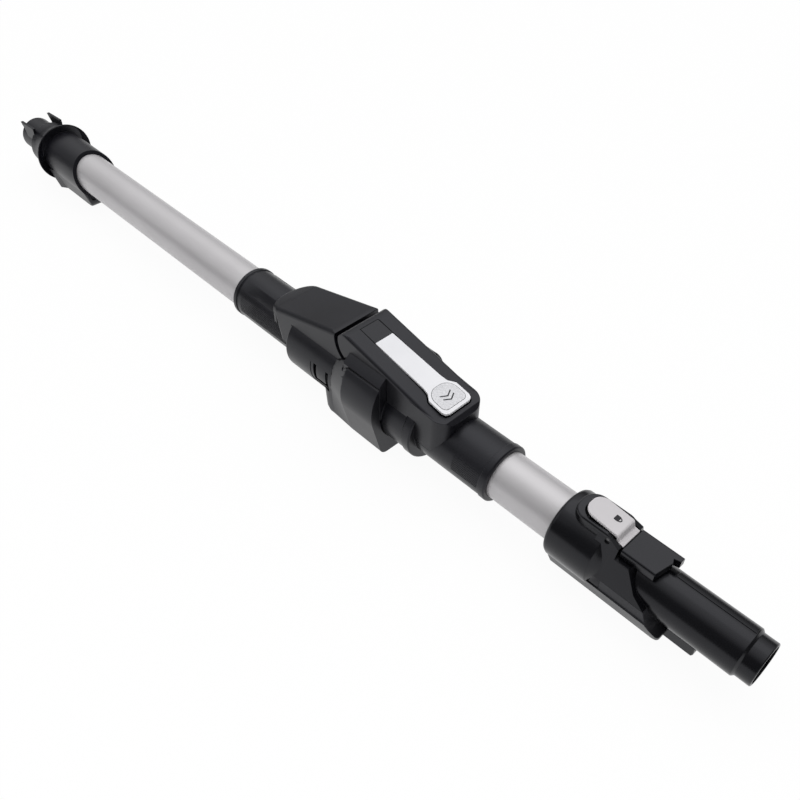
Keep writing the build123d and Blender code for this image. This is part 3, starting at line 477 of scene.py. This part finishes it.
def fan_out(piece, count, step):
    """Copies a piece round the tube axis, step degrees apart, and joins the copies."""
    copies = [piece]
    for number in range(1, count):
        only(piece)
        bpy.ops.object.duplicate()
        copy = bpy.context.object
        settle(copy, (0, 0, 0), (-radians(number * step), 0, 0))
        copies.append(copy)
    return join(copies)


def rounded_plate(name, size_mm, far_r, near_r, low_mm, high_mm):
    """A flat plate with one corner radius at its far end and one at its near end."""
    piece = start_mesh(name, "plane", size=1.0)
    bpy.ops.transform.resize(value=(size_mm[0] * MM, size_mm[1] * MM, 1))
    for side, radius in ((-1, far_r), (1, near_r)):
        bpy.ops.object.mode_set(mode="OBJECT")
        select_vertices(piece, lambda p: p.x * side > size_mm[0] * MM / 2 - TOUCH)
        bpy.ops.mesh.bevel(offset=radius * MM, segments=10, affect="VERTICES")
    bpy.ops.mesh.select_all(action="SELECT")
    bpy.ops.transform.translate(value=(0, 0, low_mm * MM))
    bpy.ops.mesh.extrude_region_move(
        TRANSFORM_OT_translate={"value": (0, 0, (high_mm - low_mm) * MM)}
    )
    return piece


# The cover's nose bulges out past its flat end, with the same sloping top and rounded rim
NOSE_CENTRE = Vector((391, 0, 0)) * MM
NOSE_HALF = (13, 18.9)
NOSE_TOP = Vector((385, 0, 23.33)) * MM
NOSE_FACING = Vector((-0.2533, 0, 0.9674))
NOSE_LOW = Vector((0, 0, 12)) * MM
NOSE_RIM_R = 3.2 * MM
NOSE_BLANK = 80 * MM
nose = start_mesh("cover_nose", "cylinder", vertices=96, radius=1.0, depth=NOSE_BLANK)
bpy.ops.transform.resize(value=(NOSE_HALF[0] * MM, NOSE_HALF[1] * MM, 1))
bpy.ops.transform.translate(value=NOSE_CENTRE)
bpy.ops.mesh.bisect(plane_co=NOSE_TOP, plane_no=NOSE_FACING, use_fill=True, clear_outer=True)
bpy.ops.mesh.select_all(action="SELECT")
bpy.ops.mesh.bisect(plane_co=NOSE_LOW, plane_no=(0, 0, -1), use_fill=True, clear_outer=True)
bpy.ops.object.mode_set(mode="OBJECT")
select_vertices(nose, lambda p: abs((p - NOSE_TOP).dot(NOSE_FACING)) < TOUCH)
bpy.ops.mesh.bevel(offset=NOSE_RIM_R, segments=6, affect="EDGES")
bpy.ops.mesh.select_all(action="SELECT")
bpy.ops.mesh.bisect(plane_co=NOSE_CENTRE, plane_no=(1, 0, 0), use_fill=True, clear_outer=True)
bpy.ops.object.mode_set(mode="OBJECT")
fit_out(nose, "front_half", satin_abs)

# The handle connector's spigot is one smooth barrel from the shoulder to its tip
ROOT_R = 14.1 * MM
SPIGOT_R = 14.4 * MM
SPIGOT_X = 705 * MM
SPIGOT_GROWTH = SPIGOT_R / ROOT_R
STEP_REACH = 0.1 * MM
RING_REACH = 0.06 * MM


def on_ring(place, radius):
    """Whether a point lies on a ring round the tube axis."""
    return abs(Vector((place.y, place.z)).length - radius) < RING_REACH


connector = node_copy("handle_connector", "near_connector")
select_vertices(connector, lambda p: p.x < SPIGOT_X + STEP_REACH and on_ring(p, ROOT_R))
bpy.ops.transform.resize(value=(1, SPIGOT_GROWTH, SPIGOT_GROWTH), center_override=(0, 0, 0))
bpy.ops.object.mode_set(mode="OBJECT")
select_vertices(connector, lambda p: abs(p.x - SPIGOT_X) < STEP_REACH and on_ring(p, SPIGOT_R))
bpy.ops.mesh.select_mode(type="FACE")
bpy.ops.mesh.delete(type="FACE")
bpy.ops.object.mode_set(mode="OBJECT")
round_edges(connector, 0.2)
stand_for(connector, "handle_connector")
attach(connector, "rear_half")

# The bellows, its sharp edges rounded, shown in the hose's place
bellows = node_copy("hose", "bellows")
round_edges(bellows, 0.25)
stand_for(bellows, "hose")
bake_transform(bellows)

# The two return springs of the lever and the latch, shaded smooth in their nodes' place; the joint,
# floor tilt and share kept of each are listed but not used
COIL_SMOOTH_ANGLE = 40
for node, name, joint, floor_tilt, keep in (
    ("lever_spring", "lever_coil", "lever_push", radians(9.3), 0.22),
    ("latch_spring", "latch_coil", "latch_rock", 0.0, 0.76),
):
    coil = node_copy(node, name)
    smooth(coil, COIL_SMOOTH_ANGLE)
    stand_for(coil, node)
    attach(coil, "rear_half")
    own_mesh(coil)

# Frame and curved tongue in each window of the mid shell, with a slit left between them
WINDOW_R = (22.5, 25.5)
WINDOW_Z = 3.0
for start, side in ((0, "right"), (180, "left")):
    sense = 1 if start == 0 else -1
    bars = []
    for part, x_span, turn in (
        ("bar", (433.9, 436.9), (-23.4, 13.8)),
        ("sill", (436.8, 452.1), (-23.4, -18.2)),
        ("tongue", (439.6, 449.0), (-11.8, 13.8)),
    ):
        ends = sorted(start + sense * angle for angle in turn)
        bars.append(arc_block(f"{side}_window_{part}", x_span, WINDOW_R, ends, WINDOW_Z))
    window = join(bars)
    window.name = f"{side}_window_frame"
    round_edges(window, 0.25)
    fit_out(window, "front_half", satin_abs)

# Fine grip ribs along the lower sides of both tube collars
RIB_STEP = 4
RIB_HALF = 0.7
for body, x_span, r_span, top, count in (
    ("front_half", (346, 402), (18.3, 18.68), 38, 13),
    ("rear_half", (556.5, 577), (18.5, 18.88), 27, 9),
):
    for side, start, step in (("right", top, -RIB_STEP), ("left", 180 - top, RIB_STEP)):
        rib_turn = (start - RIB_HALF, start + RIB_HALF)
        rib = arc_block(f"{body}_{side}_ribs", x_span, r_span, rib_turn)
        fit_out(fan_out(rib, count, step), body, satin_abs)

# Raised lip at the long tube's end of the elbow
LIP_X = (338.1, 341.2)
LIP_R = (17.5, 18.95)
lip = arc_block("front_collar_lip", LIP_X, LIP_R, (-88, 268))
round_edges(lip, 0.3)
fit_out(lip, "front_half", satin_abs)

# Flange round the floor-head pipe, dished with its rim towards the tube
FLANGE_X = (49.2, 50.8)
FLANGE_R = (18.6, 25.2)
FLANGE_MID_R = 22 * MM
FLANGE_Z = 0.6
FLANGE_DISH = 3.2 * MM
flange = arc_block("head_flange", FLANGE_X, FLANGE_R, (-85, 265), FLANGE_Z)
select_vertices(flange, lambda p: Vector((p.y, p.z - FLANGE_Z * MM)).length > FLANGE_MID_R)
bpy.ops.transform.translate(value=(FLANGE_DISH, 0, 0))
bpy.ops.object.mode_set(mode="OBJECT")
round_edges(flange, 0.4)
fit_out(flange, "front_half", satin_abs)

# A raised line along the spigot
LINE_X = (696, 741.4)
LINE_R = (14.0, 14.75)
spigot_rib = arc_block("spigot_rib", LINE_X, LINE_R, (98, 122))
round_edges(spigot_rib, 0.2)
fit_out(spigot_rib, "rear_half", gloss_abs)

# The push lever's finger pad: a speckled field with a printed outline and two chevrons
PAD_TILT = radians(11.06)
PAD_X = 533.3
PLATE_X, PLATE_Z = 478.5, 41.3
PLATE_SLOPE = 0.1954
PAD_PLACE = Vector((PAD_X, 0, PLATE_Z - PLATE_SLOPE * (PAD_X - PLATE_X))) * MM
CHEVRON_BAR = (0.9, 9.0)
CHEVRON_REACH = 2.4 * MM
CHEVRON_THICK = 0.3 * MM
CHEVRON_LOW = -0.16
outline = rounded_plate("pad_outline", (17.0, 19.6), 8.2, 3.7, -0.4, 0.05)
settle(outline, PAD_PLACE, (0, PAD_TILT, 0))
fit_out(outline, "push_lever", mark_ink)
field = rounded_plate("pad_field", (16.5, 19.1), 8.0, 3.5, -0.4, 0.10)
settle(field, PAD_PLACE, (0, PAD_TILT, 0))
fit_out(field, "push_lever", pad_paint)
chevrons = []
for shift in (-1.6, 1.4):
    chevron = start_mesh("pad_chevrons", "plane", size=1.0)
    bpy.ops.transform.resize(value=(CHEVRON_BAR[0] * MM, CHEVRON_BAR[1] * MM, 1))
    bpy.ops.mesh.subdivide(number_cuts=1)
    bpy.ops.object.mode_set(mode="OBJECT")
    select_vertices(chevron, lambda p: abs(p.y) < TOUCH)
    bpy.ops.transform.translate(value=(CHEVRON_REACH, 0, 0))
    bpy.ops.mesh.select_all(action="SELECT")
    bpy.ops.mesh.extrude_region_move(TRANSFORM_OT_translate={"value": (0, 0, CHEVRON_THICK)})
    bpy.ops.mesh.select_all(action="SELECT")
    bpy.ops.transform.translate(value=(shift * MM, 0, CHEVRON_LOW * MM))
    settle(chevron, PAD_PLACE, (0, PAD_TILT, 0))
    chevrons.append(chevron)
fit_out(join(chevrons), "push_lever", mark_ink)

# A plain padlock sign on the latch button
LOCK_TILT = radians(5.96)
LOCK_X = 657.1
LOCK_Y = 1.2
BUTTON_X, BUTTON_Z = 641, 28.4
BUTTON_SLOPE = 0.1043
LOCK_PLACE = Vector((LOCK_X, LOCK_Y, BUTTON_Z - BUTTON_SLOPE * (LOCK_X - BUTTON_X))) * MM
LOOP_X = 1.45 * MM
LOOP_R = 1.15 * MM
LOOP_Z = -0.075 * MM
LOOP_BAR = (0.55, 0.25)
lock = rounded_plate("padlock_sign", (2.9, 3.7), 0.5, 0.5, -0.2, 0.05)
bpy.ops.object.mode_set(mode="OBJECT")
loop = start_mesh("padlock_loop", "plane", size=1.0)
bpy.ops.transform.rotate(value=radians(90), orient_axis="Y", center_override=(0, 0, 0))
bpy.ops.transform.resize(value=(1, LOOP_BAR[0] * MM, LOOP_BAR[1] * MM))
bpy.ops.transform.translate(value=(LOOP_X, -LOOP_R, LOOP_Z))
bpy.ops.mesh.spin(steps=14, angle=-radians(180), center=(LOOP_X, 0, 0), axis=(0, 0, 1))
bpy.ops.object.mode_set(mode="OBJECT")
lock = join([lock, loop])
settle(lock, LOCK_PLACE, (0, LOCK_TILT, 0))
fit_out(lock, "latch", mark_ink)


def add_camera():
    bpy.ops.object.camera_add()
    camera = bpy.context.object
    camera.name = "photo_camera"
    camera.data.sensor_width = 36.0
    camera.data.lens = 36.0 * CAMERA_FOCAL_PX / PICTURE_PX
    camera.data.clip_start = 0.01
    turn = CAMERA_BACK.to_track_quat("Z", "Y").to_matrix() @ Matrix.Rotation(CAMERA_ROLL, 3, "Z")
    camera.matrix_world = Matrix.Translation(CAMERA_PLACE) @ turn.to_4x4()
    bpy.context.scene.camera = camera


def add_lamp(name, place, aim, size, power):
    bpy.ops.object.light_add(type="AREA", location=place)
    lamp = bpy.context.object
    lamp.name = name
    lamp.data.shape = "RECTANGLE"
    lamp.data.size, lamp.data.size_y = size
    lamp.data.energy = power
    lamp.rotation_euler = (Vector(aim) - Vector(place)).to_track_quat("-Z", "Y").to_euler()


def add_floor():
    bpy.ops.object.select_all(action="DESELECT")
    bpy.ops.mesh.primitive_plane_add(size=FLOOR_SIZE, location=(0.4, 0.0, FLOOR_Z))
    floor = bpy.context.object
    floor.name = "studio_floor"
    material, tree = new_material("white_paper")
    path = add_node(tree, "ShaderNodeLightPath", {}, {})
    share = add_node(
        tree,
        "ShaderNodeMath",
        {"operation": "MULTIPLY_ADD", 1: CAMERA_WHITE},
        {0: path.outputs["Is Camera Ray"], 2: path.outputs["Is Glossy Ray"]},
    )
    glow_level = add_node(
        tree,
        "ShaderNodeMapRange",
        {"To Min": FLOOR_SHEEN, "To Max": 1.0},
        {"Value": path.outputs["Is Camera Ray"]},
    )
    paper = add_node(
        tree, "ShaderNodeBsdfDiffuse", {"Color": linear("#f2f2f2"), "Roughness": 0.6}, {}
    )
    glow = add_node(
        tree,
        "ShaderNodeEmission",
        {"Color": (1, 1, 1, 1)},
        {"Strength": glow_level.outputs["Result"]},
    )
    both = add_node(
        tree,
        "ShaderNodeMixShader",
        {},
        {0: share.outputs[0], 1: paper.outputs[0], 2: glow.outputs[0]},
    )
    add_node(tree, "ShaderNodeOutputMaterial", {}, {"Surface": both.outputs[0]})
    dress(floor, material)


def add_world():
    """A broad overhead lamp between dim walls, softer in what the surfaces mirror."""
    world = bpy.data.worlds.new("white_studio")
    bpy.context.scene.world = world
    world.use_nodes = True
    tree = world.node_tree
    tree.nodes.clear()
    path = add_node(tree, "ShaderNodeLightPath", {}, {})
    direction = add_node(tree, "ShaderNodeTexCoord", {}, {}).outputs["Generated"]
    towards = add_node(
        tree,
        "ShaderNodeVectorMath",
        {"operation": "DOT_PRODUCT", 1: LAMP_SIDE},
        {0: direction},
    )
    mirrored = add_node(
        tree,
        "ShaderNodeMapRange",
        {"From Min": 0.5, "From Max": 0.9, "To Min": WALL_SHEEN, "To Max": LAMP_SHEEN},
        {"Value": towards.outputs["Value"]},
    )
    gain = add_node(
        tree,
        "ShaderNodeMapRange",
        {"To Min": LIT_GAIN, "To Max": 1.0},
        {"Value": path.outputs["Is Glossy Ray"]},
    )
    lit = add_node(
        tree,
        "ShaderNodeMath",
        {"operation": "MULTIPLY"},
        {0: mirrored.outputs["Result"], 1: gain.outputs["Result"]},
    )
    level = add_node(
        tree,
        "ShaderNodeMath",
        {"operation": "MAXIMUM"},
        {0: lit.outputs[0], 1: path.outputs["Is Camera Ray"]},
    )
    sky = add_node(
        tree, "ShaderNodeBackground", {"Color": (1, 1, 1, 1)}, {"Strength": level.outputs[0]}
    )
    add_node(tree, "ShaderNodeOutputWorld", {}, {"Surface": sky.outputs[0]})


add_camera()
add_floor()
add_world()
add_lamp("overhead_softbox", (0.1, 0.45, 1.5), (0.4, 0.0, 0.0), (1.6, 1.2), 3.0)
add_lamp("left_softbox", (-0.6, -1.0, 0.9), (0.4, 0.0, 0.0), (1.2, 0.9), 2.0)

scene = bpy.context.scene
scene.view_settings.view_transform = "Standard"
